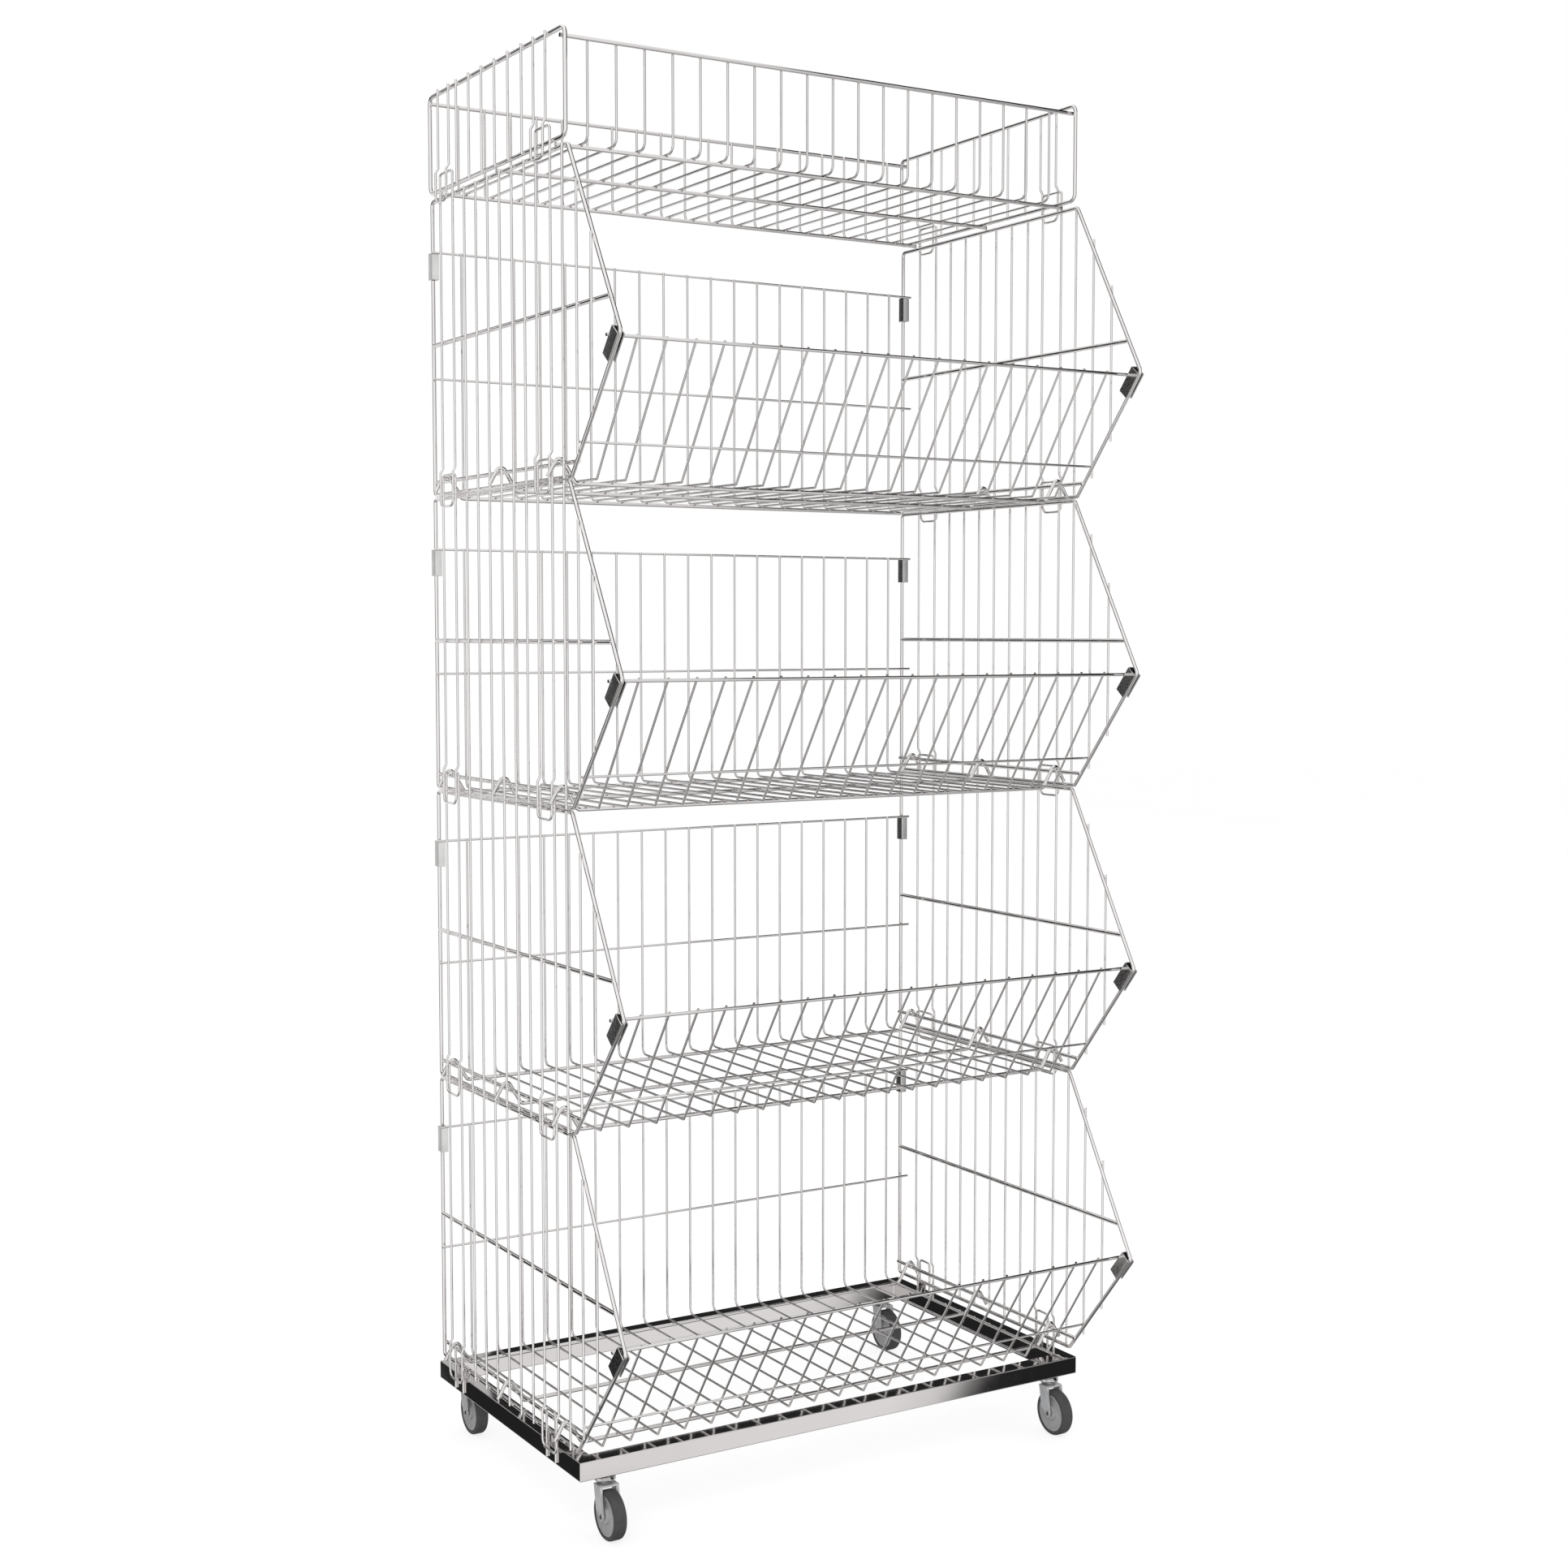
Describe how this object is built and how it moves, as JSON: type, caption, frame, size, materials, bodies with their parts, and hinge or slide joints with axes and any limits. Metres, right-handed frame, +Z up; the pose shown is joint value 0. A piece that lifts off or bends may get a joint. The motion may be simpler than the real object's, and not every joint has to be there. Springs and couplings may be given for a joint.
{
  "type": "retail dump bin",
  "caption": "Mobile tower of stacking open-fronted wire dump baskets with a shallow wire basket on top, on a square-tube base with swivel castors.",
  "frame": {"origin": "on the floor, at the middle of the bounding box", "axes": "+X to the right seen from the front, +Y to the rear, +Z up; the open fronts face -Y"},
  "size_m": [0.7624, 0.5466, 1.7598],
  "materials": {
    "chrome_wire": "bright chrome-plated wire",
    "clip_steel": "plated sheet steel",
    "polished_base": "mirror-bright plated square tube",
    "polished_head": "bright plated pressing",
    "zinc_fork": "zinc-plated pressing",
    "zinc_axle": "zinc-plated bolt",
    "wheel_core": "moulded grey plastic",
    "tyre": "dark grey rubber"
  },
  "bodies": {
    "base": {"base_frame": "polished_base", "castor_head_front_left": "polished_head", "castor_head_front_right": "polished_head", "castor_head_rear_left": "polished_head", "castor_head_rear_right": "polished_head"},
    "castor_front_left": {"castor_fork_front_left": "zinc_fork", "castor_axle_front_left": "zinc_axle"},
    "wheel_front_left": {"wheel_core_front_left": "wheel_core", "tyre_front_left": "tyre"},
    "castor_front_right": {"castor_fork_front_right": "zinc_fork", "castor_axle_front_right": "zinc_axle"},
    "wheel_front_right": {"wheel_core_front_right": "wheel_core", "tyre_front_right": "tyre"},
    "castor_rear_left": {"castor_fork_rear_left": "zinc_fork", "castor_axle_rear_left": "zinc_axle"},
    "wheel_rear_left": {"wheel_core_rear_left": "wheel_core", "tyre_rear_left": "tyre"},
    "castor_rear_right": {"castor_fork_rear_right": "zinc_fork", "castor_axle_rear_right": "zinc_axle"},
    "wheel_rear_right": {"wheel_core_rear_right": "wheel_core", "tyre_rear_right": "tyre"},
    "basket_1": {"tray_1": "chrome_wire", "side_left_1": "chrome_wire", "side_right_1": "chrome_wire", "front_clip_left_1": "clip_steel", "front_clip_right_1": "clip_steel", "rear_clip_left_1": "clip_steel", "rear_clip_right_1": "clip_steel"},
    "basket_2": {"tray_2": "chrome_wire", "side_left_2": "chrome_wire", "side_right_2": "chrome_wire", "front_clip_left_2": "clip_steel", "front_clip_right_2": "clip_steel", "rear_clip_left_2": "clip_steel", "rear_clip_right_2": "clip_steel"},
    "basket_3": {"tray_3": "chrome_wire", "side_left_3": "chrome_wire", "side_right_3": "chrome_wire", "front_clip_left_3": "clip_steel", "front_clip_right_3": "clip_steel", "rear_clip_left_3": "clip_steel", "rear_clip_right_3": "clip_steel"},
    "basket_4": {"tray_4": "chrome_wire", "side_left_4": "chrome_wire", "side_right_4": "chrome_wire", "front_clip_left_4": "clip_steel", "front_clip_right_4": "clip_steel", "rear_clip_left_4": "clip_steel", "rear_clip_right_4": "clip_steel"},
    "top_basket": {"top_basket_body": "chrome_wire", "top_basket_side_left": "chrome_wire", "top_basket_side_right": "chrome_wire"}
  },
  "joints": [
    {"name": "castor_swivel_front_left", "type": "hinge", "parent": "base", "child": "castor_front_left", "pos_m": [-0.332, -0.1469, 0.06823], "axis": [0, 0, 1], "continuous": true},
    {"name": "wheel_spin_front_left", "type": "hinge", "parent": "castor_front_left", "child": "wheel_front_left", "pos_m": [-0.332, -0.1612, 0.02963], "axis": [1, 0, 0], "continuous": true},
    {"name": "castor_swivel_front_right", "type": "hinge", "parent": "base", "child": "castor_front_right", "pos_m": [0.332, -0.1469, 0.06823], "axis": [0, 0, 1], "continuous": true},
    {"name": "wheel_spin_front_right", "type": "hinge", "parent": "castor_front_right", "child": "wheel_front_right", "pos_m": [0.332, -0.1612, 0.02963], "axis": [1, 0, 0], "continuous": true},
    {"name": "castor_swivel_rear_left", "type": "hinge", "parent": "base", "child": "castor_rear_left", "pos_m": [-0.332, 0.258, 0.06823], "axis": [0, 0, 1], "continuous": true},
    {"name": "wheel_spin_rear_left", "type": "hinge", "parent": "castor_rear_left", "child": "wheel_rear_left", "pos_m": [-0.332, 0.2437, 0.02963], "axis": [1, 0, 0], "continuous": true},
    {"name": "castor_swivel_rear_right", "type": "hinge", "parent": "base", "child": "castor_rear_right", "pos_m": [0.332, 0.258, 0.06823], "axis": [0, 0, 1], "continuous": true},
    {"name": "wheel_spin_rear_right", "type": "hinge", "parent": "castor_rear_right", "child": "wheel_rear_right", "pos_m": [0.332, 0.2437, 0.02963], "axis": [1, 0, 0], "continuous": true},
    {"name": "basket_lift_1", "type": "slide", "parent": "base", "child": "basket_1", "axis": [0, 0, 1], "range_m": [0, 0.06]},
    {"name": "basket_lift_2", "type": "slide", "parent": "basket_1", "child": "basket_2", "axis": [0, 0, 1], "range_m": [0, 0.06]},
    {"name": "basket_lift_3", "type": "slide", "parent": "basket_2", "child": "basket_3", "axis": [0, 0, 1], "range_m": [0, 0.06]},
    {"name": "basket_lift_4", "type": "slide", "parent": "basket_3", "child": "basket_4", "axis": [0, 0, 1], "range_m": [0, 0.06]},
    {"name": "top_basket_lift", "type": "slide", "parent": "basket_4", "child": "top_basket", "axis": [0, 0, 1], "range_m": [0, 0.06]}
  ]
}
